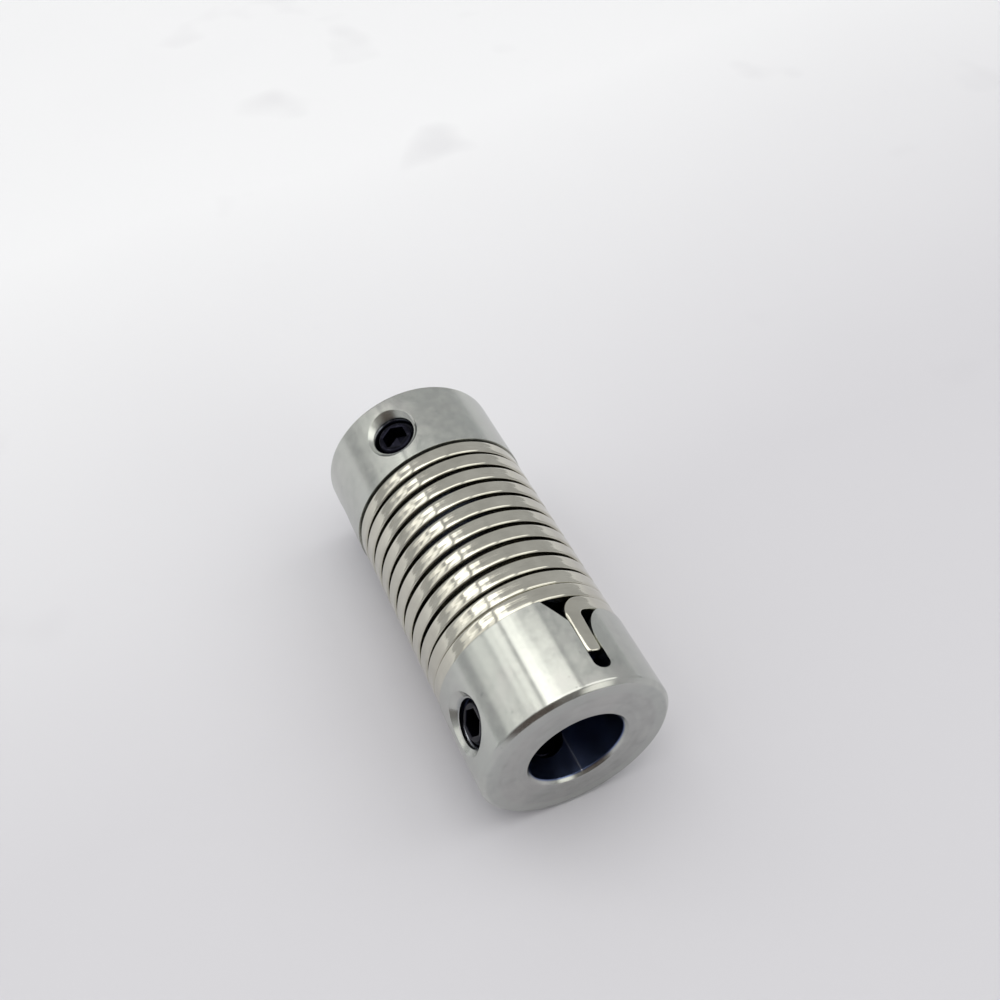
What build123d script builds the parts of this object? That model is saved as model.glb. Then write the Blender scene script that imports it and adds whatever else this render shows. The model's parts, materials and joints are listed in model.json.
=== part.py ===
"""Wound-spring shaft coupling: two hubs joined by one rectangular-wire coil spring, with four set screws.

Frame: the shaft axis is X, +Z is up, and the origin is on the axis at mid-length.
The driven hub is at +X and the drive hub at -X. Angles about the axis are in degrees from +Z towards +Y.
The two hubs are the same part; the drive hub is the driven one turned end for end.
"""
from build123d import *
import math
import os

# Overall envelope (mm)
overall_length = 35.0
hub_diameter = 16.0
bore_diameter = 8.0
rim_chamfer = 0.4
bore_chamfer = 0.3

# Spring: rectangular wire, wound right-handed, both ends bent into axial tangs
spring_diameter = 15.8
wire_width = 1.36
wire_thickness = 1.3
closed_gap = 0.025
tang_turns = 4100.0 / 360.0
closed_turns = 1.7
ramp_turns = 1.2
spring_travel = 18.97
tang_length = 4.75
bend_radius = 1.3
tip_rounding = 0.4
tang_inset = 0.02
tang_overlap = 0.23

# Hub: collar, spigot that carries the spring, helical shoulder and the slot for the tang
shoulder_x = 10.3
spigot_clearance = 0.02
spigot_tip_x = 6.3
spigot_chamfer = 0.25
slot_angle = 18.5
slot_width = 1.46
slot_end_x = 16.05
slot_run_out = 0.5
slot_floor_radius = 6.15
mouth_flank_width = 1.3
mouth_flank_length = 2.45
mouth_rounding = 3.3
mouth_depth = 3.0
mouth_overrun = 0.2
shoulder_margin_turns = 0.006

# Set screws: M4 cup-point socket screws in radial holes, at two places round each hub
screw_places = {"a": -90.0, "b": -180.0}
screw_x = 13.3
screw_hole_radius = 1.9
countersink_radius = 2.6
screw_radius = 1.84
screw_tip_radius = 4.25
screw_length = 3.0
screw_chamfer = 0.4
socket_across_flats = 2.0
socket_depth = 1.5
cup_radius = 1.0
cup_depth = 0.5

# Worked out from the sizes above
face_x = overall_length / 2
hub_radius = hub_diameter / 2
bore_radius = bore_diameter / 2
spring_outer_radius = spring_diameter / 2
spring_inner_radius = spring_outer_radius - wire_thickness
spigot_radius = spring_inner_radius - spigot_clearance
closed_lead = wire_width + closed_gap
open_turns = tang_turns - closed_turns - ramp_turns
opening = (spring_travel - closed_lead * tang_turns) / open_turns
first_wire_x = shoulder_x - closed_gap - wire_width / 2
points_per_turn = 24
reach = 2.0


def wire_x(turn):
    """Axial place of the middle of the wire, after so many turns from the driven hub's tang.

    The turns are close-wound at first, open up evenly over a ramp, and close again over a last ramp.
    """
    opened = min(max(turn - closed_turns, 0.0), ramp_turns)
    spread = opened**2 / (2 * ramp_turns) + max(turn - closed_turns - ramp_turns, 0.0)
    closing = max(turn - (tang_turns - ramp_turns), 0.0)
    spread -= closing**2 / (2 * ramp_turns)
    return first_wire_x - closed_lead * turn - opening * spread


def shoulder_at(turn):
    """Axial place of the helical shoulder, after so many turns from the slot."""
    return shoulder_x - closed_lead * turn


def round_axis(radius, angle, x):
    """Point at a radius and an angle about the axis."""
    a = math.radians(angle)
    return Vector(x, radius * math.sin(a), radius * math.cos(a))


def radial_plane(angle, radius=0.0, x=0.0):
    """Plane that faces outwards: its local x runs along the shaft and its local y round the hub."""
    normal = round_axis(1.0, angle, 0.0)
    return Plane(origin=normal * radius + Vector(x, 0, 0), x_dir=(1, 0, 0), z_dir=normal)


def wound_band(inner, outer, first_turn, last_turn, low_x, high_x):
    """Solid band wound about the axis, from radius to radius and between two curves along the axis."""
    count = math.ceil((last_turn - first_turn) * points_per_turn)
    turns = [first_turn + (last_turn - first_turn) * i / count for i in range(count + 1)]
    corners = [(inner, low_x), (outer, low_x), (outer, high_x), (inner, high_x)]
    rails = []
    for radius, height in corners:
        rails.append(Edge.make_spline([round_axis(radius, slot_angle + 360 * t, height(t)) for t in turns]))
    faces = [Face.make_surface_from_curves(rails[i], rails[(i + 1) % 4]) for i in range(4)]
    for end in (0, 1):
        faces.append(Face(Wire.make_polygon([rail.position_at(end) for rail in rails], close=True)))
    return Solid(Shell(faces))


def end_for_end(shape):
    """Turn a shape at the driven hub over to the drive hub, with its slot where the wire arrives."""
    drive_slot_angle = slot_angle + 360 * tang_turns
    return shape.rotate(Axis.Z, 180).rotate(Axis.X, -(drive_slot_angle + slot_angle))


def make_tang():
    """Last stretch of the wire: the rounded right-angle bend and the straight axial tang."""
    half = wire_width / 2
    bend_x = first_wire_x - half + tang_inset
    tip_x = first_wire_x + tang_length
    with BuildPart() as tang:
        with BuildSketch(radial_plane(slot_angle)):
            with BuildLine():
                RadiusArc((bend_x, bend_radius - half), (bend_x + bend_radius, -half), -bend_radius)
                Polyline((bend_x + bend_radius, -half), (tip_x, -half), (tip_x, half), (bend_x, half))
                Line((bend_x, half), (bend_x, bend_radius - half))
            make_face()
            fillet(vertices().sort_by(Axis.X)[-2:], tip_rounding)
        extrude(amount=hub_radius)
        with BuildSketch(Plane.YZ):
            Circle(spring_outer_radius - tang_inset)
            Circle(spring_inner_radius + tang_inset, mode=Mode.SUBTRACT)
        extrude(amount=face_x, mode=Mode.INTERSECT)
    return tang.part


def make_spring():
    """The whole spring: the wire, wound turn by turn, with a tang at each end."""
    half = wire_width / 2
    tang = make_tang()
    end_shift = wire_x(tang_turns) + first_wire_x
    start = (half - tang_overlap) / (2 * math.pi * spring_outer_radius)
    breaks = [start, *range(1, math.ceil(tang_turns)), tang_turns - start]
    with BuildPart() as spring:
        for first, last in zip(breaks, breaks[1:]):
            turn = wound_band(
                spring_inner_radius,
                spring_outer_radius,
                first,
                last,
                lambda t: wire_x(t) - half,
                lambda t: wire_x(t) + half,
            )
            add(turn, clean=False)
        add(tang, clean=False)
        add(Pos(end_shift, 0, 0) * end_for_end(tang), clean=False)
    return spring.part


def make_collar():
    """Collar ring with its rim chamfer and helical shoulder, still without slot and holes."""
    start_x = shoulder_at(1) - slot_run_out / 2
    inner = (bore_radius + spigot_radius) / 2
    cut_away = wound_band(
        bore_radius,
        hub_radius + reach,
        shoulder_margin_turns,
        1 - shoulder_margin_turns,
        lambda turn: start_x - reach,
        shoulder_at,
    )
    with BuildPart() as collar:
        with BuildSketch(Plane.XZ):
            with BuildLine():
                Polyline(
                    (start_x, inner),
                    (face_x, inner),
                    (face_x, hub_radius - rim_chamfer),
                    (face_x - rim_chamfer, hub_radius),
                    (start_x, hub_radius),
                    close=True,
                )
            make_face()
        revolve(axis=Axis.X)
        add(cut_away, mode=Mode.SUBTRACT)
    return collar.part


def slot_outline():
    """Outline of the tang slot: one straight flank, one rounded flank and a round closed end."""
    half = slot_width / 2
    low_side_x = shoulder_at(1)
    start_x = low_side_x - slot_run_out
    round_x = shoulder_x + mouth_depth
    mouth_x = shoulder_x - mouth_overrun
    mouth_y = half + mouth_rounding - math.sqrt(mouth_rounding**2 - (round_x - mouth_x) ** 2)
    end_x = slot_end_x - half
    with BuildSketch() as outline:
        with BuildLine():
            Line((round_x, half), (end_x, half))
            RadiusArc((end_x, half), (end_x, -half), half)
            Polyline(
                (end_x, -half),
                (low_side_x + mouth_flank_length, -half),
                (low_side_x, -half - mouth_flank_width),
                (start_x, -half - mouth_flank_width),
                (start_x, mouth_y),
                (mouth_x, mouth_y),
            )
            RadiusArc((mouth_x, mouth_y), (round_x, half), -mouth_rounding)
        make_face()
    return outline.sketch


def make_hub():
    """One hub at the driven end: collar and bored spigot, slot for the tang, and set-screw holes."""
    with BuildPart() as hub:
        add(make_collar())
        with BuildSketch(Plane.XZ):
            with BuildLine():
                Polyline(
                    (spigot_tip_x, bore_radius + bore_chamfer),
                    (spigot_tip_x, spigot_radius - spigot_chamfer),
                    (spigot_tip_x + spigot_chamfer, spigot_radius),
                    (face_x, spigot_radius),
                    (face_x, bore_radius + bore_chamfer),
                    (face_x - bore_chamfer, bore_radius),
                    (spigot_tip_x + bore_chamfer, bore_radius),
                    close=True,
                )
            make_face()
        revolve(axis=Axis.X)
        with BuildSketch(radial_plane(slot_angle, slot_floor_radius)):
            add(slot_outline())
        extrude(amount=reach + hub_radius - slot_floor_radius, mode=Mode.SUBTRACT)
        for step in screw_places.values():
            with Locations(radial_plane(slot_angle + step, hub_radius, screw_x)):
                CounterSinkHole(screw_hole_radius, countersink_radius, depth=hub_radius - bore_radius / 2)
    return hub.part


def make_set_screw(angle):
    """M4 socket set screw at an angle round the driven hub: hexagon socket outside, cup point inside."""
    outwards = Axis((0, 0, 0), round_axis(1.0, angle, 0.0))
    top_radius = screw_tip_radius + screw_length
    with BuildPart() as screw:
        with BuildSketch(radial_plane(angle, screw_tip_radius, screw_x)):
            Circle(screw_radius)
        extrude(amount=screw_length)
        chamfer(edges().filter_by(GeomType.CIRCLE), screw_chamfer)
        with BuildSketch(radial_plane(angle, top_radius, screw_x)):
            RegularPolygon(socket_across_flats / 2, 6, major_radius=False)
        extrude(amount=-socket_depth, mode=Mode.SUBTRACT)
        with BuildSketch(radial_plane(angle, screw_tip_radius, screw_x)):
            Circle(cup_radius)
        extrude(amount=cup_depth, taper=45, mode=Mode.SUBTRACT)
    return screw.part


def write(shape, name):
    """Label a finished piece and write it as its own STEP file."""
    shape.label = name
    export_step(shape, f"parts/{name}.step")


os.makedirs("parts", exist_ok=True)

driven_hub = make_hub()
write(driven_hub, "driven_hub")
write(end_for_end(driven_hub), "drive_hub")
write(make_spring(), "coil_spring")

for place, step in screw_places.items():
    set_screw = make_set_screw(slot_angle + step)
    write(set_screw, f"driven_set_screw_{place}")
    write(end_for_end(set_screw), f"drive_set_screw_{place}")
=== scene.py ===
"""Looks for the wound-spring shaft coupling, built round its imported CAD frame.

The shaft axis is X, +Z is up, and the origin is on the axis at mid-length. Lengths are millimetres, which
become metres when a mesh is made, and the materials work in metres. Angles are degrees, and those about the
axis run from +Z towards +Y.
"""
import json
import math

import bmesh
import bpy
from mathutils import Matrix, Vector


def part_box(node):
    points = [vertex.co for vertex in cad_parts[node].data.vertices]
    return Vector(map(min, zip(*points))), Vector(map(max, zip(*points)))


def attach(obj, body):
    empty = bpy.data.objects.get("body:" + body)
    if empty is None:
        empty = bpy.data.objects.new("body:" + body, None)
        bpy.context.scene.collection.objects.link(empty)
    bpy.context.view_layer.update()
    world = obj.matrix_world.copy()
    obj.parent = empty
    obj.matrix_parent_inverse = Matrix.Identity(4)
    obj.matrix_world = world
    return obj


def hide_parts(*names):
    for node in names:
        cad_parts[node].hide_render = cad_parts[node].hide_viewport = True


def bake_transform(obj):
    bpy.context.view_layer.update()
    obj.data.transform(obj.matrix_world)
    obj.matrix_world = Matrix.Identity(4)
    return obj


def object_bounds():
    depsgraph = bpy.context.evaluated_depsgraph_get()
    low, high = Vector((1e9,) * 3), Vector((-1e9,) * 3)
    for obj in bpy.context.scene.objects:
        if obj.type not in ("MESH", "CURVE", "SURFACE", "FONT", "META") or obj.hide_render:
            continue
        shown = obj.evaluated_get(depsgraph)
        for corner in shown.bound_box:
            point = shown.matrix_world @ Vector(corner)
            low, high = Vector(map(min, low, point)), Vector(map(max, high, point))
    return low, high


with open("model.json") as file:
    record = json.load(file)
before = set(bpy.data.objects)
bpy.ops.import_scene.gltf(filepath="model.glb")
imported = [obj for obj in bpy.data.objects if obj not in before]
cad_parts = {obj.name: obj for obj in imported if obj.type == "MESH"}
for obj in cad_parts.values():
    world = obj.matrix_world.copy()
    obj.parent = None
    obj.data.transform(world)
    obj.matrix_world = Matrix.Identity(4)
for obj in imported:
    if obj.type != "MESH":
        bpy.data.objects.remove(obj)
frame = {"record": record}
cad_low, cad_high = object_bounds()

MM = 0.001

# ---------------------------------------------------------------- sizes, from the frame and the part's design

hub_low, hub_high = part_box("driven_hub")
FACE_X = hub_high.x / MM
HUB_R = hub_high.z / MM
SPIGOT_TIP_X = hub_low.x / MM
BORE_R = frame["record"]["mounts"][0]["dims"]["r_mm"]
SPRING_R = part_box("coil_spring")[1].y / MM

RIM_CHAMFER = 0.4
BORE_CHAMFER = 0.3
SPIGOT_CHAMFER = 0.25
EDGE_ROUND = 0.05
RIM_ROUND = 0.32

WIRE_WIDTH = 1.36
WIRE_THICKNESS = 1.3
WIRE_CORNER = 0.16
CROWN_RADIUS = 14.0
CROWN_STEPS = 32
DIE_MARKS = ((0.0050, 0.80, 0.40), (0.0007, 0.25, 0.10))  # depth, width and shift of each set of grooves
STEPS_PER_TURN = 120
CLOSED_GAP = 0.025
TANG_TURNS = 4100.0 / 360.0
CLOSED_TURNS = 1.7
RAMP_TURNS = 1.2
SPRING_TRAVEL = 19.06
TANG_LENGTH = 4.75
TANG_STEPS = (0.0, 0.005, 0.015, 0.03, 0.05, 0.08, 0.12, 0.2, 0.35, 0.5, 0.75, 1.0)  # parts of its run
BEND_RADIUS = 1.35
BEND_STEPS = 20
TANG_LEAN = 1.5
TANG_REST = -0.03  # how far the tip lies to one side of the slot's middle
TANG_TIP_ROUND = 0.10
TANG_TIP_NARROW = 0.3
TANG_TIP_TAPER = 1.6  # length of the narrowing over its depth
WORN_EDGE_WIDTH = 0.30
WORN_EDGE_ANGLE = 32
WEAR_AT_BEND = 0.6

SPIGOT_CLEARANCE = 0.02
SPIGOT_R = SPRING_R - WIRE_THICKNESS - SPIGOT_CLEARANCE
SHOULDER_X = 10.3
SLOT_ANGLE = 18.5
SLOT_WIDTH = 1.46
SLOT_END_X = 16.05
SLOT_FLOOR_R = 6.15
SLOT_RUN_OUT = 0.5
MOUTH_FLANK_WIDTH = 1.3
MOUTH_FLANK_LENGTH = 2.45
MOUTH_ROUNDING = 3.3
MOUTH_DEPTH = 3.0
MOUTH_OVERRUN = 0.2

SCREW_PLACES = {"a": SLOT_ANGLE - 90, "b": SLOT_ANGLE - 180}
SCREW_X = 13.3
COUNTERSINK_R = 2.6
HOLE_ROOT_R = 1.98
HOLE_CREST_R = 1.87
SCREW_CREST_R = 1.84
SCREW_ROOT_R = 1.56
SCREW_TIP_R = 4.25
SCREW_LENGTH = 3.0
THREAD_PITCH = 0.7
SCREW_CHAMFER = 0.4
SOCKET_HALF = 1.0  # half across flats
SOCKET_DEPTH = 1.5
CUP_R = 1.0
CUP_DEPTH = 0.45

CLOSED_LEAD = WIRE_WIDTH + CLOSED_GAP
OPENING = (SPRING_TRAVEL - CLOSED_LEAD * TANG_TURNS) / (TANG_TURNS - CLOSED_TURNS - RAMP_TURNS)
FIRST_WIRE_X = SHOULDER_X - CLOSED_GAP - WIRE_WIDTH / 2
DRIVE_SLOT_ANGLE = SLOT_ANGLE + 360 * TANG_TURNS
SEAM_TURN = 5 + (180 - SLOT_ANGLE) / 360  # on the underside, near mid-length

# How far a cutter reaches past what it cuts, and the segments round a hub and round a screw or its hole
CUT_REACH = 1.0
HUB_SEGMENTS = 360
SCREW_SEGMENTS = 96

# Where one look of the hub fades into the next: distances from mid-length or from the axis, in metres
FACE_FADE = ((FACE_X - 0.10) * MM, (FACE_X - 0.01) * MM)
BORE_FADE = ((BORE_R + 0.03) * MM, (BORE_R + 0.12) * MM)
RIM_BAND_FADE = (0.00655, 0.00680)
# The next two fades bound the painted shade on the spigots, shoulder and slot floors, by distance from the
# axis and from mid-length
RECESS_SHADE_FADE = (0.0071, 0.0076)
RECESS_SHADE_END_FADE = (0.0162, 0.0166)

# ---------------------------------------------------------------- colours and light

ZINC_DARK = (0.46, 0.47, 0.445)
ZINC_LIGHT = (0.56, 0.57, 0.535)
ZINC_GREEN = (0.50, 0.525, 0.495)
ZINC_PINK = (0.54, 0.525, 0.51)
ZINC_SPECK = (0.30, 0.31, 0.30)
# The end face: a greyer machined finish, darkened further as painted shade that stands in for the shadowed
# floor it reflects
FACE_SHADED_DARK = (0.37, 0.375, 0.36)
FACE_SHADED_LIGHT = (0.50, 0.505, 0.485)
# Painted shade: a dark colour on the spigots, the shoulder and the slot floors, where the wire and the collar
# shade them
RECESS_PAINTED_SHADE = (0.05, 0.06, 0.11)
# The bore: the plating's blue tint, darkened as painted shade of the tube's inside
BORE_BLUE_AND_SHADE = (0.13, 0.17, 0.30)
# A pale line painted along the bore, low on one side; what makes it is not known
BORE_PALE_LINE_COLOUR = (0.50, 0.52, 0.60)
BORE_PALE_LINE_ACROSS = (0, 0.986, 0.165)  # the pale line along the bore lies square to this direction
NICKEL_DARK = (0.52, 0.505, 0.44)
NICKEL_LIGHT = (0.62, 0.605, 0.53)
NICKEL_WORN = (0.50, 0.48, 0.42)
# The floor's colours: a painted shade round the coupling, turning into a painted paler light towards -X
PAPER_PAINTED_SHADE = (0.64, 0.635, 0.68)
PAPER_PAINTED_LIT = (0.86, 0.865, 0.90)
PAPER_SMUDGE = (0.56, 0.555, 0.60)
PAPER_LIT_TOWARDS = (-0.98, -0.17, 0)
# Black oxide, darkened further as painted shade of the screws' holes; the rubbed patches are real wear
OXIDE_SHADED_DARK = (0.003, 0.003, 0.007)
OXIDE_SHADED_LIGHT = (0.008, 0.008, 0.016)
OXIDE_RUBBED = (0.05, 0.05, 0.07)

# Soft ceiling panels: name, lowest and highest (x, y) corner, radiance
CEILING_Z = 600.0
PANEL_COLOUR = (1.0, 0.99, 0.93)
PANELS = (
    ("panel_main_low", (-480, -256), (350, -190), 1.9),
    ("panel_main", (-425, -190), (350, -110), 1.9),
    ("panel_main_high", (-352, -110), (350, -40), 1.85),
    ("panel_main_right", (-322, -40), (350, 190), 1.45),
    ("panel_right", (-230, 230), (350, 900), 1.35),
    ("panel_left_low", (-620, -605), (-466, -309), 2.3),
    ("panel_left_near", (-466, -430), (300, -309), 0.95),
    ("panel_left_middle", (-466, -720), (200, -450), 0.62),
    ("panel_left_far_low", (-960, -1250), (-720, -625), 1.35),
    ("panel_left_far", (-720, -1250), (100, -735), 0.55),
    ("panel_left_last", (-1400, -2200), (0, -1260), 0.55),
)
# The room: its own colour, then patches by direction, half-angle and softness in degrees, and colour
ROOM_COLOUR = (0.54, 0.545, 0.55)
ROOM_PATCHES = (
    ((1.0, -0.10, 0.35), 30, 30, (0.20, 0.19, 0.185)),
    ((0.85, -0.42, 0.22), 20, 18, (0.10, 0.075, 0.065)),
    ((0.78, 0.50, 0.38), 8, 10, (1.6, 1.6, 1.5)),
)
FLOOR_HALF_SIZE = 400.0

CAMERA_AZIMUTH = 65.6
CAMERA_ELEVATION = 47.48
CAMERA_PLACE = (54.29, -23.21, 74.96)
CAMERA_SENSOR = 36.0
CAMERA_LENS = 40.2156


def wire_x(turn):
    """Axial place of the middle of the wire, after so many turns from the driven hub's tang."""
    opened = min(max(turn - CLOSED_TURNS, 0.0), RAMP_TURNS)
    spread = opened**2 / (2 * RAMP_TURNS) + max(turn - CLOSED_TURNS - RAMP_TURNS, 0.0)
    closing = max(turn - (TANG_TURNS - RAMP_TURNS), 0.0)
    spread -= closing**2 / (2 * RAMP_TURNS)
    return FIRST_WIRE_X - CLOSED_LEAD * turn - OPENING * spread


def outwards(angle):
    """Unit vector away from the axis at an angle about it."""
    a = math.radians(angle)
    return Vector((0, math.sin(a), math.cos(a)))


def radial_matrix(angle, x=0.0, radius=0.0):
    """Places local x along the shaft, local y round the hub and local z outwards."""
    z = outwards(angle)
    y = outwards(angle + 90)
    m = Matrix.Identity(4)
    m.col[0][:3] = (1, 0, 0)
    m.col[1][:3] = y
    m.col[2][:3] = z
    m.col[3][:3] = z * radius + Vector((x, 0, 0))
    return m


def end_for_end():
    """Turns the driven hub's end over to the drive hub's, slot to slot."""
    slot_to_slot = Matrix.Rotation(-math.radians(DRIVE_SLOT_ANGLE + SLOT_ANGLE), 4, "X")
    return slot_to_slot @ Matrix.Rotation(math.pi, 4, "Z")


# ---------------------------------------------------------------- mesh helpers


def make_object(name, points, faces, matrix=None):
    """Object from points in millimetres, placed by a matrix in millimetres."""
    matrix = matrix or Matrix.Identity(4)
    mesh = bpy.data.meshes.new(name)
    mesh.from_pydata([(matrix @ Vector(p)) * MM for p in points], [], faces)
    mesh.validate()
    obj = bpy.data.objects.new(name, mesh)
    bpy.context.scene.collection.objects.link(obj)
    return obj


def grid_faces(rows, columns, close_rows=False, close_columns=False):
    """Quads of a grid of points numbered row by row."""
    faces = []
    for i in range(rows if close_rows else rows - 1):
        for j in range(columns if close_columns else columns - 1):
            a, b = i * columns + j, i * columns + (j + 1) % columns
            c, d = ((i + 1) % rows) * columns + (j + 1) % columns, ((i + 1) % rows) * columns + j
            faces.append((a, b, c, d))
    return faces


def corner_arc(before, corner, after, radius, steps=6):
    """Points of a small rounding at a corner of a flat outline."""
    a = (Vector(before) - Vector(corner)).normalized()
    b = (Vector(after) - Vector(corner)).normalized()
    half = a.angle(b) / 2
    reach = radius / math.tan(half)
    centre = Vector(corner) + (a + b).normalized() * (radius / math.sin(half))
    start = Vector(corner) + a * reach - centre
    end = Vector(corner) + b * reach - centre
    sweep = start.angle_signed(end)
    points = []
    for i in range(steps + 1):
        turn = Matrix.Rotation(-sweep * i / steps, 2)
        points.append(tuple(centre + turn @ start))
    return points


def rounded_outline(corners):
    """Closed outline with each (point, radius) corner rounded, or left sharp where the radius is 0."""
    outline = []
    for i, (point, radius) in enumerate(corners):
        if radius:
            outline += corner_arc(corners[i - 1][0], point, corners[(i + 1) % len(corners)][0], radius)
        else:
            outline.append(point)
    return outline


def turn_about_shaft(name, outline, segments):
    """Ring turned about the shaft from a closed outline of (x, radius) points."""
    points = []
    for x, r in outline:
        points += [(x, *(outwards(360 * j / segments) * r).yz) for j in range(segments)]
    return make_object(name, points, grid_faces(len(outline), segments, True, True))


def capped_lathe(name, rows, segments, matrix):
    """Closed solid turned about local z. Each row is a function of the angle that gives (radius, height)."""
    points = []
    for row in rows:
        for j in range(segments):
            a = 2 * math.pi * j / segments
            r, z = row(a)
            points.append((r * math.cos(a), r * math.sin(a), z))
    faces = grid_faces(len(rows), segments, False, True)
    for first, apex_row in ((0, rows[0]), ((len(rows) - 1) * segments, rows[-1])):
        ring = list(range(first, first + segments))
        points.append((0, 0, apex_row(0.0)[1]))
        apex = len(points) - 1
        faces += [(apex, ring[j], ring[(j + 1) % segments]) for j in range(segments)]
    obj = make_object(name, points, faces, matrix)
    face_outwards(obj)
    return obj


def prism(name, outline, low, high, matrix):
    """Closed prism of a flat outline, from one height to another along local z."""
    n = len(outline)
    points = [(x, y, low) for x, y in outline] + [(x, y, high) for x, y in outline]
    faces = [tuple(range(n)), tuple(range(n, 2 * n))]
    faces += [(i, (i + 1) % n, n + (i + 1) % n, n + i) for i in range(n)]
    obj = make_object(name, points, faces, matrix)
    face_outwards(obj)
    return obj


def face_outwards(obj):
    """Makes the faces of a closed mesh point away from its inside."""
    bm = bmesh.new()
    bm.from_mesh(obj.data)
    bmesh.ops.recalc_face_normals(bm, faces=bm.faces)
    bm.to_mesh(obj.data)
    bm.free()


def cut(obj, cutters):
    """Cuts the cutters out of an object, one after another, and removes them."""
    for cutter in cutters:
        modifier = obj.modifiers.new("cut", "BOOLEAN")
        modifier.operation = "DIFFERENCE"
        modifier.solver = "EXACT"
        modifier.object = cutter
    graph = bpy.context.evaluated_depsgraph_get()
    mesh = bpy.data.meshes.new_from_object(obj.evaluated_get(graph))
    obj.modifiers.clear()
    obj.data = mesh
    for cutter in cutters:
        bpy.data.objects.remove(cutter)


def smooth(obj, sharp_degrees=28):
    """Smooth shading, with edges over an angle kept sharp."""
    obj.data.shade_smooth()
    obj.data.set_sharp_from_angle(angle=math.radians(sharp_degrees))


# ---------------------------------------------------------------- hub


def hub_outline():
    """Outline of the hub as turned, (x, radius), with its chamfers and slightly broken edges."""
    collar_x = SHOULDER_X - CLOSED_LEAD - SLOT_RUN_OUT / 2
    corners = [
        ((SPIGOT_TIP_X + BORE_CHAMFER, BORE_R), EDGE_ROUND),
        ((SPIGOT_TIP_X, BORE_R + BORE_CHAMFER), EDGE_ROUND),
        ((SPIGOT_TIP_X, SPIGOT_R - SPIGOT_CHAMFER), EDGE_ROUND),
        ((SPIGOT_TIP_X + SPIGOT_CHAMFER, SPIGOT_R), EDGE_ROUND),
        ((collar_x, SPIGOT_R), 0),
        ((collar_x, HUB_R), 0),
        ((FACE_X - RIM_CHAMFER, HUB_R), RIM_ROUND),
        ((FACE_X, HUB_R - RIM_CHAMFER), RIM_ROUND),
        ((FACE_X, BORE_R + BORE_CHAMFER), EDGE_ROUND),
        ((FACE_X - BORE_CHAMFER, BORE_R), EDGE_ROUND),
    ]
    return rounded_outline(corners)


def shoulder_cutter():
    """What is cut from the collar's inner side to leave the helical shoulder that the wire lies on."""
    steps = 360
    margin_turns = 0.006
    inner, outer = SPIGOT_R + 0.01, HUB_R + CUT_REACH
    low = SHOULDER_X - 4.0
    points = []
    for i in range(steps + 1):
        turn = margin_turns + (1 - 2 * margin_turns) * i / steps
        out = outwards(SLOT_ANGLE + 360 * turn)
        x = SHOULDER_X - CLOSED_LEAD * turn
        for r, along in ((inner, low), (outer, low), (outer, x), (inner, x)):
            points.append((along, *(out * r).yz))
    faces = grid_faces(steps + 1, 4, False, True)
    last = steps * 4
    faces += [(0, 1, 2, 3), (last, last + 1, last + 2, last + 3)]
    obj = make_object("shoulder_cutter", points, faces)
    face_outwards(obj)
    return obj


def slot_cutter():
    """The tang slot: a straight flank on one side of its mouth, a rounded flank on the other, a round end."""
    half = SLOT_WIDTH / 2
    low_side = SHOULDER_X - CLOSED_LEAD
    start = low_side - SLOT_RUN_OUT
    end = SLOT_END_X - half
    flank_foot = -half - MOUTH_FLANK_WIDTH
    steps = 24
    outline = [
        (end, -half),
        (low_side + MOUTH_FLANK_LENGTH, -half),
        (low_side + 0.08, flank_foot + 0.02),
        (low_side, flank_foot - 0.1),
        (start, flank_foot - 0.1),
    ]
    widest = math.asin((MOUTH_DEPTH + MOUTH_OVERRUN) / MOUTH_ROUNDING)
    outline.append((start, half + MOUTH_ROUNDING * (1 - math.cos(widest))))
    for i in range(steps + 1):
        a = widest * (1 - i / steps)
        x = SHOULDER_X + MOUTH_DEPTH - MOUTH_ROUNDING * math.sin(a)
        outline.append((x, half + MOUTH_ROUNDING * (1 - math.cos(a))))
    for i in range(steps + 1):
        a = math.pi * i / steps
        outline.append((end + half * math.sin(a), half * math.cos(a)))
    return prism("slot_cutter", outline, SLOT_FLOOR_R, HUB_R + CUT_REACH, radial_matrix(SLOT_ANGLE))


def thread(height, angle, root, crest):
    """Radius of a right-handed thread with rounded crests, between its root and its crest."""
    phase = (height / THREAD_PITCH - angle / (2 * math.pi)) % 1.0
    wave = 0.5 + 0.5 * math.cos(2 * math.pi * phase)
    flank = wave * wave * (3 - 2 * wave)
    return root + (crest - root) * flank


def hole_cutter(name, angle):
    """A tapped set-screw hole with its countersink, from inside the bore out past the collar."""
    steps_per_pitch = 12
    edge = 0.04
    sink_depth = COUNTERSINK_R - HOLE_ROOT_R
    floor, sink_start, top = BORE_R - 1.2, HUB_R - sink_depth, HUB_R + 0.5
    steps = int((sink_start - floor) / THREAD_PITCH * steps_per_pitch)
    rows = []
    for i in range(steps + 1):
        z = floor + (sink_start - floor) * i / steps
        rows.append(lambda a, z=z: (thread(z, a, HOLE_ROOT_R, HOLE_CREST_R), z))
    rows.append(lambda a: (HOLE_ROOT_R + 0.02, sink_start + 0.03))
    rows.append(lambda a: (COUNTERSINK_R - edge, HUB_R - edge))
    rows.append(lambda a: (COUNTERSINK_R + 0.03, HUB_R + edge))
    rows.append(lambda a: (COUNTERSINK_R + 0.6, top))
    return capped_lathe(name, rows, SCREW_SEGMENTS, radial_matrix(angle, SCREW_X))


def make_hub(name, node, body, matrix, material):
    """One hub: turned collar and spigot, helical shoulder, slot and tapped holes."""
    hub = turn_about_shaft(name, hub_outline(), HUB_SEGMENTS)
    face_outwards(hub)
    cutters = [shoulder_cutter(), slot_cutter()]
    cutters += [hole_cutter("hole_" + place, angle) for place, angle in SCREW_PLACES.items()]
    cut(hub, cutters)
    hub.data.transform(matrix)
    smooth(hub)
    hub.data.materials.clear()
    hub.data.materials.append(material)
    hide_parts(node)
    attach(hub, body)


# ---------------------------------------------------------------- set screws


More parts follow.
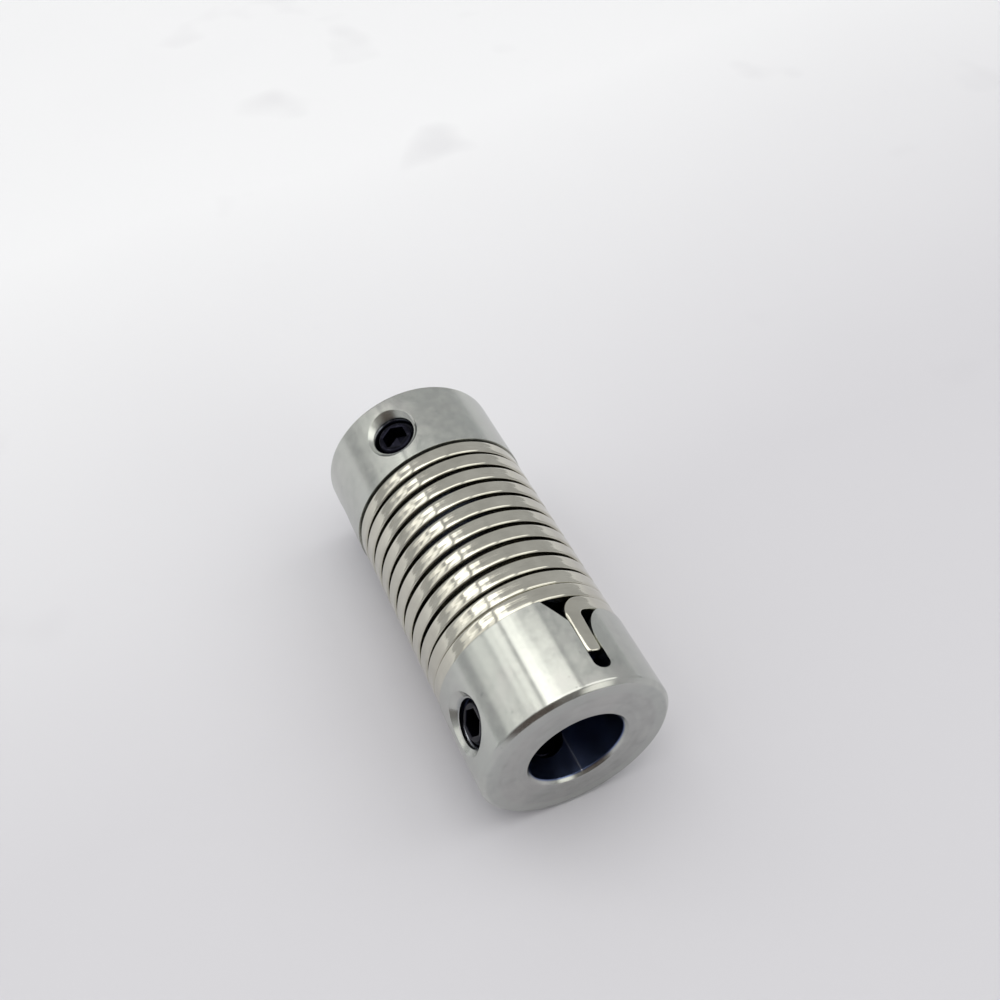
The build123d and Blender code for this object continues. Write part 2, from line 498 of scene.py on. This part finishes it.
def screw_rows():
    """Rows of a cup-point socket screw, from the socket's floor over the outside to the bottom of the cup."""
    steps_per_pitch = 14
    top = SCREW_TIP_R + SCREW_LENGTH
    end_r = SCREW_CREST_R - SCREW_CHAMFER

    def hexagon(a):
        return SOCKET_HALF / math.cos((a % (math.pi / 3)) - math.pi / 6)

    def body(z):
        def row(a):
            r = thread(z, a, SCREW_ROOT_R, SCREW_CREST_R)
            from_end = min(top - z, z - SCREW_TIP_R)
            return (min(r, end_r + from_end), z)

        return row

    floor = top - SOCKET_DEPTH
    rows = [
        lambda a: (0.3, floor - 0.35),
        lambda a: (hexagon(a) * 0.93, floor),
        lambda a: (hexagon(a), floor + 0.06),
        lambda a: (hexagon(a), top - 0.08),
        lambda a: (hexagon(a) + 0.02, top - 0.02),
        lambda a: (hexagon(a) + 0.08, top),
        lambda a: (end_r - 0.03, top),
    ]
    steps = int(SCREW_LENGTH / THREAD_PITCH * steps_per_pitch)
    rows += [body(top - 0.01 - (SCREW_LENGTH - 0.02) * i / steps) for i in range(steps + 1)]
    rows += [
        lambda a: (end_r - 0.03, SCREW_TIP_R),
        lambda a: (CUP_R, SCREW_TIP_R),
        lambda a: (CUP_R - 0.1, SCREW_TIP_R + 0.03),
        lambda a: (0.3, SCREW_TIP_R + CUP_DEPTH),
    ]
    return rows


def make_screw(node, angle, turn_over, material):
    """One M4 set screw in its hole."""
    screw = capped_lathe("screw_" + node, screw_rows(), SCREW_SEGMENTS, radial_matrix(angle, SCREW_X))
    screw.data.transform(turn_over)
    smooth(screw, 40)
    screw.data.materials.append(material)
    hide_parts(node)
    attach(screw, node)


# ---------------------------------------------------------------- spring


def wire_section():
    """Section of the wire, as (across, outwards) offsets from its middle, crowned and grooved outside."""
    w, t = WIRE_WIDTH / 2, WIRE_THICKNESS / 2
    top = []
    for i in range(CROWN_STEPS + 1):
        across = w - 2 * w * i / CROWN_STEPS
        outer = t - CROWN_RADIUS + math.sqrt(CROWN_RADIUS**2 - across**2)
        for depth, width, shift in DIE_MARKS:
            outer -= depth * (1 - math.cos(math.tau * (across + shift) / width))
        if i in (0, CROWN_STEPS):
            top.append(((across, outer), WIRE_CORNER))
        elif abs(across) < w - WIRE_CORNER - 0.02:
            top.append(((across, outer), 0))
    return rounded_outline(top + [((-w, -t), WIRE_CORNER), ((w, -t), WIRE_CORNER)])


def bend_places():
    """Where the leaning tang's bend has its centre and where it starts, each as (along, round)."""
    lean = math.radians(TANG_LEAN)
    start_along = BEND_RADIUS * (1 - math.sin(lean))
    start_round = (TANG_LENGTH - start_along) * math.tan(lean) - TANG_REST
    return (BEND_RADIUS, start_round + BEND_RADIUS * math.cos(lean)), (start_along, start_round)


def tip_inset(back):
    """How far the section draws in at a distance back from the tang's tip: (from its sides, all round)."""
    narrow = max(1 - back / (TANG_TIP_TAPER * TANG_TIP_NARROW), 0.0)
    rounded = max(1 - back / TANG_TIP_ROUND, 0.0)
    return TANG_TIP_NARROW * (1 - math.sqrt(1 - narrow**2)), TANG_TIP_ROUND * (1 - math.sqrt(1 - rounded**2))


def tang_stations(slot_angle, wire_middle, sign):
    """Middle line of the tang and its bend, from the tip to where the wound wire starts.

    A station is (x, angle about the shaft, insets of the section, wear of its outer edge). The sign is +1 at
    the driven end and -1 at the drive end, where everything is the other way round.
    """
    centre, start = bend_places()
    run = TANG_LENGTH - start[0]
    slope = (start[1] + TANG_REST) / run
    path = []
    for part in TANG_STEPS:
        back = part * run
        worn = 1 - (1 - WEAR_AT_BEND) * part
        path.append((TANG_LENGTH - back, back * slope - TANG_REST, tip_inset(back), worn))
    lean = math.radians(TANG_LEAN)
    for i in range(1, BEND_STEPS + 1):
        a = lean + (math.pi / 2 - lean) * i / BEND_STEPS
        x, y = centre[0] - BEND_RADIUS * math.sin(a), centre[1] - BEND_RADIUS * math.cos(a)
        path.append((x, y, (0.0, 0.0), max(WEAR_AT_BEND - 2.0 * i / BEND_STEPS, 0.0)))
    per_mm = math.degrees(1 / (SPRING_R - WIRE_THICKNESS / 2))
    stations = []
    for x, y, inset, worn in path:
        stations.append((wire_middle + sign * x, slot_angle + sign * y * per_mm, inset, sign * worn))
    return stations


def wound_stations(first_turn, last_turn):
    """Middle line of the wound wire between two turn counts."""
    steps = math.ceil((last_turn - first_turn) * STEPS_PER_TURN)
    turns = [first_turn + (last_turn - first_turn) * i / steps for i in range(steps + 1)]
    return [(wire_x(t), SLOT_ANGLE + 360 * t, (0.0, 0.0), 0.0) for t in turns]


def worn_edge(across, worn):
    """How far the outer side drops at a place across the wire, where the tang's outer edge is rubbed flat."""
    from_edge = WIRE_WIDTH / 2 + math.copysign(1, worn) * across
    return max(abs(worn) * WORN_EDGE_WIDTH - from_edge, 0.0) * math.tan(math.radians(WORN_EDGE_ANGLE))


def sweep_wire(name, stations, first, last):
    """Solid length of wire between two of its stations, with its section square to the whole wire's line."""
    section = wire_section()
    middle_r = SPRING_R - WIRE_THICKNESS / 2
    centres = [Vector((x, *(outwards(angle) * middle_r).yz)) for x, angle, *_ in stations]
    points = []
    for i in range(first, last + 1):
        _, angle, inset, worn = stations[i]
        line = (centres[min(i + 1, len(centres) - 1)] - centres[max(i - 1, 0)]).normalized()
        out = outwards(angle)
        across = line.cross(out).normalized()
        out = across.cross(line)
        for a, o in section:
            if o > 0:
                o -= worn_edge(a, worn)
            a *= 1 - (inset[0] + inset[1]) / (WIRE_WIDTH / 2)
            o *= 1 - inset[1] / (WIRE_THICKNESS / 2)
            points.append(tuple(centres[i] + across * a + out * o))
    n = len(section)
    faces = grid_faces(last - first + 1, n, False, True)
    end = (last - first) * n
    faces += [tuple(range(n)), tuple(range(end, end + n))]
    obj = make_object(name, points, faces)
    face_outwards(obj)
    return obj


def make_spring(material):
    """The spring in two halves that meet under its middle turn."""
    start = bend_places()[0][1] / (2 * math.pi * (SPRING_R - WIRE_THICKNESS / 2))
    stations = tang_stations(SLOT_ANGLE, wire_x(0), 1) + wound_stations(start, SEAM_TURN)[1:]
    seam = len(stations) - 1
    stations += wound_stations(SEAM_TURN, TANG_TURNS - start)[1:]
    stations += list(reversed(tang_stations(DRIVE_SLOT_ANGLE, wire_x(TANG_TURNS), -1)))[1:]
    split = wire_x(SEAM_TURN)
    clear = WIRE_WIDTH / 2 + 0.02
    for name, first, last, bodies, start_x, end_x in (
        ("spring_driven_half", 0, seam, ("spring", "driven_hub"), split + clear, SPIGOT_TIP_X),
        ("spring_drive_half", seam, len(stations) - 1, ("drive_hub", "spring"), -SPIGOT_TIP_X, split - clear),
    ):
        half = sweep_wire(name, stations, first, last)
        smooth(half, 40)
        half.data.materials.append(material)
        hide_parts("coil_spring")
        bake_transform(half)


# ---------------------------------------------------------------- materials


class Look:
    """A node material: its shader, and short ways to add nodes and link them."""

    def __init__(self, name):
        self.material = bpy.data.materials.new(name)
        self.material.use_nodes = True
        self.tree = self.material.node_tree
        self.shader = self.tree.nodes["Principled BSDF"]

    def add(self, kind, inputs=None, **settings):
        """Adds a node with settings and inputs, each a value or another node's output."""
        node = self.tree.nodes.new(kind)
        for key, value in settings.items():
            setattr(node, key, value)
        for key, value in (inputs or {}).items():
            if isinstance(value, bpy.types.NodeSocket):
                self.tree.links.new(value, node.inputs[key])
            else:
                node.inputs[key].default_value = value
        return node

    def into(self, socket, value):
        """Sets an input of the shader to a value or to another node's output."""
        if isinstance(value, bpy.types.NodeSocket):
            self.tree.links.new(value, self.shader.inputs[socket])
        else:
            self.shader.inputs[socket].default_value = value

    def place(self):
        """Coordinates on the object, in metres."""
        return self.add("ShaderNodeTexCoord").outputs["Object"]

    def noise(self, vector, scale, detail=3.0, roughness=0.5):
        """Cloudy noise between 0 and 1."""
        settings = {"Vector": vector, "Scale": scale, "Detail": detail, "Roughness": roughness}
        return self.add("ShaderNodeTexNoise", settings).outputs["Fac"]

    def spread(self, value, low, high, start=0.3, end=0.7):
        """Maps a value from one range to another."""
        settings = {"Value": value, "From Min": start, "From Max": end, "To Min": low, "To Max": high}
        return self.add("ShaderNodeMapRange", settings).outputs["Result"]

    def blend(self, factor, first, second):
        """Mixes two colours."""
        node = self.add("ShaderNodeMix", {"Factor": factor}, data_type="RGBA")
        for socket, value in ((node.inputs[6], first), (node.inputs[7], second)):
            if isinstance(value, bpy.types.NodeSocket):
                self.tree.links.new(value, socket)
            else:
                socket.default_value = (*value, 1)
        return node.outputs[2]

    def maths(self, operation, first, second=0.0):
        """Arithmetic on two values."""
        return self.add("ShaderNodeMath", {0: first, 1: second}, operation=operation).outputs[0]

    def bump(self, height, depth, below=None):
        """Surface relief of a depth in metres, over another normal."""
        settings = {"Height": height, "Strength": 1.0, "Distance": depth}
        if below is not None:
            settings["Normal"] = below
        return self.add("ShaderNodeBump", settings).outputs["Normal"]

    def brush_round_shaft(self, strength):
        """Stretches highlights across marks that run round the shaft."""
        tangent = self.add("ShaderNodeTangent", direction_type="RADIAL", axis="X").outputs["Tangent"]
        self.into("Anisotropic", strength)
        self.into("Anisotropic Rotation", 0.25)
        self.into("Tangent", tangent)

    def shaft_radius(self, place):
        """Distance from the shaft axis, in metres."""
        parts = self.add("ShaderNodeSeparateXYZ", {"Vector": place}).outputs
        flat = self.add("ShaderNodeCombineXYZ", {"Y": parts["Y"], "Z": parts["Z"]}).outputs["Vector"]
        return self.add("ShaderNodeVectorMath", {0: flat}, operation="LENGTH").outputs["Value"]


def mottled_zinc(look, place, mottle, cloud, tint):
    """Colour of the plating on the hub's round side."""
    metal = look.blend(look.spread(mottle, 0, 1), ZINC_DARK, ZINC_LIGHT)
    metal = look.blend(look.spread(cloud, 0, 0.5, 0.42, 0.66), metal, ZINC_GREEN)
    metal = look.blend(look.spread(tint, 0, 0.5, 0.55, 0.72), metal, ZINC_PINK)
    specks = look.spread(look.noise(place, 2100.0, 2.0, 0.5), 0, 0.5, 0.70, 0.76)
    return look.blend(specks, metal, ZINC_SPECK)


def faced_zinc_with_shade(look, lathe, radius, mottle, tint):
    """Colour of the hub's end face: fine rings, mottled, with a greener band near the rim. It is greyer and
    darker than the round side, partly as painted shade.
    """
    rings = look.noise(lathe, 1400.0, 2.0, 0.5)
    faced = look.blend(look.maths("ADD", rings, look.spread(mottle, -0.35, 0.35)), FACE_SHADED_DARK, FACE_SHADED_LIGHT)
    faced = look.blend(look.spread(tint, 0, 0.35, 0.48, 0.66), faced, ZINC_PINK)
    return look.blend(look.spread(radius, 0, 0.35, *RIM_BAND_FADE), faced, ZINC_GREEN)


def bore_tint_and_shade(look, place, height):
    """Colour of the bore: a blue tint darkened as painted shade, with a pale line along it low on one side.
    """
    across = look.add("ShaderNodeVectorMath", {0: place, 1: BORE_PALE_LINE_ACROSS}, operation="DOT_PRODUCT")
    # seam here is the pale line painted along the bore, not a joint
    seam = look.spread(look.maths("ABSOLUTE", across.outputs["Value"]), 1, 0, 0.00003, 0.00010)
    seam = look.maths("MULTIPLY", seam, look.spread(height, 1, 0, -0.002, -0.001))
    return look.blend(seam, BORE_BLUE_AND_SHADE, BORE_PALE_LINE_COLOUR)


def zinc_material():
    """Zinc-plated turned steel: satin along the shaft, with fine turning marks and a mottled bloom. The
    recesses under the wire and in the slot are painted dark as shade, and the bore's blue tint is darkened as
    painted shade.
    """
    look = Look("zinc_plated_steel")
    place = look.place()
    mottle = look.noise(place, 900.0, 4.0, 0.6)
    cloud = look.noise(place, 170.0, 3.0, 0.5)
    tint = look.noise(place, 260.0, 1.0, 0.5)
    radius = look.shaft_radius(place)
    parts = look.add("ShaderNodeSeparateXYZ", {"Vector": place}).outputs
    along = look.maths("ABSOLUTE", parts["X"])
    path = look.maths("SUBTRACT", along, radius)
    lathe = look.add("ShaderNodeCombineXYZ", {"X": path}).outputs["Vector"]
    metal = mottled_zinc(look, place, mottle, cloud, tint)
    faced = faced_zinc_with_shade(look, lathe, radius, mottle, tint)
    metal = look.blend(look.spread(along, 0, 1, *FACE_FADE), metal, faced)
    # Painted shade: the spigots, shoulder and slot floors, near the axis and inboard of the end faces, are
    # darkened
    recess_shade = look.spread(radius, 1, 0, *RECESS_SHADE_FADE)
    shade_inboard = look.spread(along, 1, 0, *RECESS_SHADE_END_FADE)
    metal = look.blend(look.maths("MULTIPLY", recess_shade, shade_inboard), metal, RECESS_PAINTED_SHADE)
    # The bore's colour: a blue tint darkened as painted shade, with a pale line along it
    bore = bore_tint_and_shade(look, place, parts["Z"])
    metal = look.blend(look.spread(radius, 1, 0, *BORE_FADE), metal, bore)
    look.into("Base Color", metal)
    look.into("Metallic", 1.0)
    look.into("Roughness", look.maths("ADD", look.spread(mottle, 0.18, 0.23), look.spread(cloud, 0.0, 0.03)))
    look.brush_round_shaft(0.88)
    turning = look.noise(lathe, 9000.0, 3.0, 0.6)
    normal = look.add("ShaderNodeBevel", {"Radius": 0.00004}, samples=6).outputs["Normal"]
    normal = look.bump(turning, 0.0000010, normal)
    normal = look.bump(mottle, 0.0000012, normal)
    look.into("Normal", normal)
    return look.material


def nickel_material():
    """Bright nickel-plated wire: warm, glossy, slightly uneven, with scratches along the winding."""
    look = Look("nickel_plated_wire")
    place = look.place()
    cloud = look.noise(place, 500.0, 3.0)
    metal = look.blend(look.spread(cloud, 0, 1), NICKEL_DARK, NICKEL_LIGHT)
    stretched = look.add("ShaderNodeMapping", {"Vector": place, "Scale": (9.0, 1.0, 1.0)}).outputs["Vector"]
    scratch = look.noise(stretched, 500.0, 2.0, 0.6)
    metal = look.blend(look.spread(scratch, 0, 0.35, 0.56, 0.70), metal, NICKEL_WORN)
    look.into("Base Color", metal)
    look.into("Metallic", 1.0)
    look.into("Roughness", look.spread(cloud, 0.10, 0.14))
    look.brush_round_shaft(0.5)
    normal = look.bump(look.noise(place, 700.0, 2.0), 0.0000014)
    normal = look.bump(scratch, 0.0000045, normal)
    look.into("Normal", normal)
    return look.material


def oxide_material():
    """Black-oxide steel, lightly oiled, rubbed brighter in patches, and darkened further as painted shade of
    the holes the screws sit in.
    """
    look = Look("black_oxide_steel")
    place = look.place()
    cloud = look.noise(place, 1500.0, 4.0)
    metal = look.blend(look.spread(cloud, 0, 1), OXIDE_SHADED_DARK, OXIDE_SHADED_LIGHT)
    rubbed = look.spread(look.noise(place, 2600.0, 2.0), 0, 0.35, 0.58, 0.72)
    look.into("Base Color", look.blend(rubbed, metal, OXIDE_RUBBED))
    look.into("Metallic", 0.9)
    look.into("Roughness", look.spread(cloud, 0.16, 0.28))
    look.into("Normal", look.bump(cloud, 0.000004))
    return look.material


def paper_material():
    """Plain pale paper, a little smudged, with painted light and shade: darker round the coupling and paler
    towards -X beyond its far end.
    """
    look = Look("floor_paper")
    place = look.place()
    cloud = look.noise(place, 14.0, 3.0)
    # Painted light: the floor turns paler towards -X, over 80 mm from the middle
    away = look.add("ShaderNodeVectorMath", {0: place, 1: PAPER_LIT_TOWARDS}, operation="DOT_PRODUCT")
    lit = look.spread(away.outputs["Value"], 0, 1, 0.0, 0.08)
    painted_light_tone = look.blend(look.maths("ADD", lit, look.spread(cloud, -0.05, 0.05)), PAPER_PAINTED_SHADE, PAPER_PAINTED_LIT)
    smudge = look.spread(look.noise(place, 60.0, 2.0, 0.4), 0, 0.25, 0.66, 0.80)
    look.into("Base Color", look.blend(smudge, painted_light_tone, PAPER_SMUDGE))
    look.into("Roughness", 0.8)
    look.into("Specular IOR Level", 0.2)
    return look.material


# ---------------------------------------------------------------- stage


def make_floor(material):
    """Flat pale floor that the coupling lies on."""
    size = FLOOR_HALF_SIZE
    z = cad_low.z / MM
    corners = [(-size, -size, z), (size, -size, z), (size, size, z), (-size, size, z)]
    floor = make_object("floor", corners, [(0, 1, 2, 3)])
    floor.data.materials.append(material)


def make_panel(name, low, high, radiance):
    """Soft ceiling panel over the coupling, between two (x, y) corners in millimetres."""
    size_x, size_y = (high[0] - low[0]) * MM, (high[1] - low[1]) * MM
    data = bpy.data.lights.new(name, "AREA")
    data.shape = "RECTANGLE"
    data.size = size_x
    data.size_y = size_y
    data.energy = radiance * math.pi * size_x * size_y
    data.color = PANEL_COLOUR
    light = bpy.data.objects.new(name, data)
    light.location = ((low[0] + high[0]) / 2 * MM, (low[1] + high[1]) / 2 * MM, CEILING_Z * MM)
    light.visible_camera = False
    bpy.context.scene.collection.objects.link(light)


def make_lights():
    """Ceiling panels whose reflections make the bands along the hubs and the glints on the wire."""
    for name, low, high, radiance in PANELS:
        make_panel(name, low, high, radiance)


def make_camera():
    """Camera at the photograph's angle, in millimetres from the middle of the coupling."""
    azimuth, elevation = math.radians(CAMERA_AZIMUTH), math.radians(CAMERA_ELEVATION)
    level = math.cos(elevation)
    back = Vector((math.sin(azimuth) * level, -math.cos(azimuth) * level, math.sin(elevation)))
    right = Vector((math.cos(azimuth), math.sin(azimuth), 0))
    up = back.cross(right)
    data = bpy.data.cameras.new("camera")
    data.sensor_width = CAMERA_SENSOR
    data.lens = CAMERA_LENS
    data.clip_start = 0.001
    data.clip_end = 10.0
    camera = bpy.data.objects.new("camera", data)
    camera.matrix_world = Matrix((right, up, back)).transposed().to_4x4()
    camera.location = Vector(CAMERA_PLACE) * MM
    bpy.context.scene.collection.objects.link(camera)
    bpy.context.scene.camera = camera


def room_patch(tree, place, below, direction, half_angle, softness, patch):
    """A soft round patch of colour, as seen from the coupling in one direction, over the colour below it."""
    dot = tree.nodes.new("ShaderNodeVectorMath")
    dot.operation = "DOT_PRODUCT"
    tree.links.new(place, dot.inputs[0])
    dot.inputs[1].default_value = Vector(direction).normalized()
    edge = tree.nodes.new("ShaderNodeMapRange")
    edge.interpolation_type = "SMOOTHSTEP"
    tree.links.new(dot.outputs["Value"], edge.inputs["Value"])
    edge.inputs["From Min"].default_value = math.cos(math.radians(half_angle + softness))
    edge.inputs["From Max"].default_value = math.cos(math.radians(half_angle))
    mix = tree.nodes.new("ShaderNodeMix")
    mix.data_type = "RGBA"
    tree.links.new(edge.outputs["Result"], mix.inputs[0])
    tree.links.new(below, mix.inputs[6])
    mix.inputs[7].default_value = (*patch, 1)
    return mix.outputs[2]


def make_world():
    """Even grey room, with a darker side where somebody stands and a paler window beside them."""
    world = bpy.data.worlds.new("surroundings")
    world.use_nodes = True
    tree = world.node_tree
    place = tree.nodes.new("ShaderNodeTexCoord").outputs["Generated"]
    plain = tree.nodes.new("ShaderNodeRGB").outputs[0]
    plain.default_value = (*ROOM_COLOUR, 1)
    colour = plain
    for patch in ROOM_PATCHES:
        colour = room_patch(tree, place, colour, *patch)
    tree.links.new(colour, tree.nodes["Background"].inputs["Color"])
    bpy.context.scene.world = world


# ---------------------------------------------------------------- build

zinc, nickel, oxide, paper = zinc_material(), nickel_material(), oxide_material(), paper_material()
here, over = Matrix.Identity(4), end_for_end()

make_hub("hub_driven", "driven_hub", "driven_hub", here, zinc)
make_hub("hub_drive", "drive_hub", "drive_hub", over, zinc)
for place, angle in SCREW_PLACES.items():
    make_screw("driven_set_screw_" + place, angle, here, oxide)
    make_screw("drive_set_screw_" + place, angle, over, oxide)
make_spring(nickel)

make_camera()
make_floor(paper)
make_world()
make_lights()
bpy.context.scene.view_settings.view_transform = "Standard"
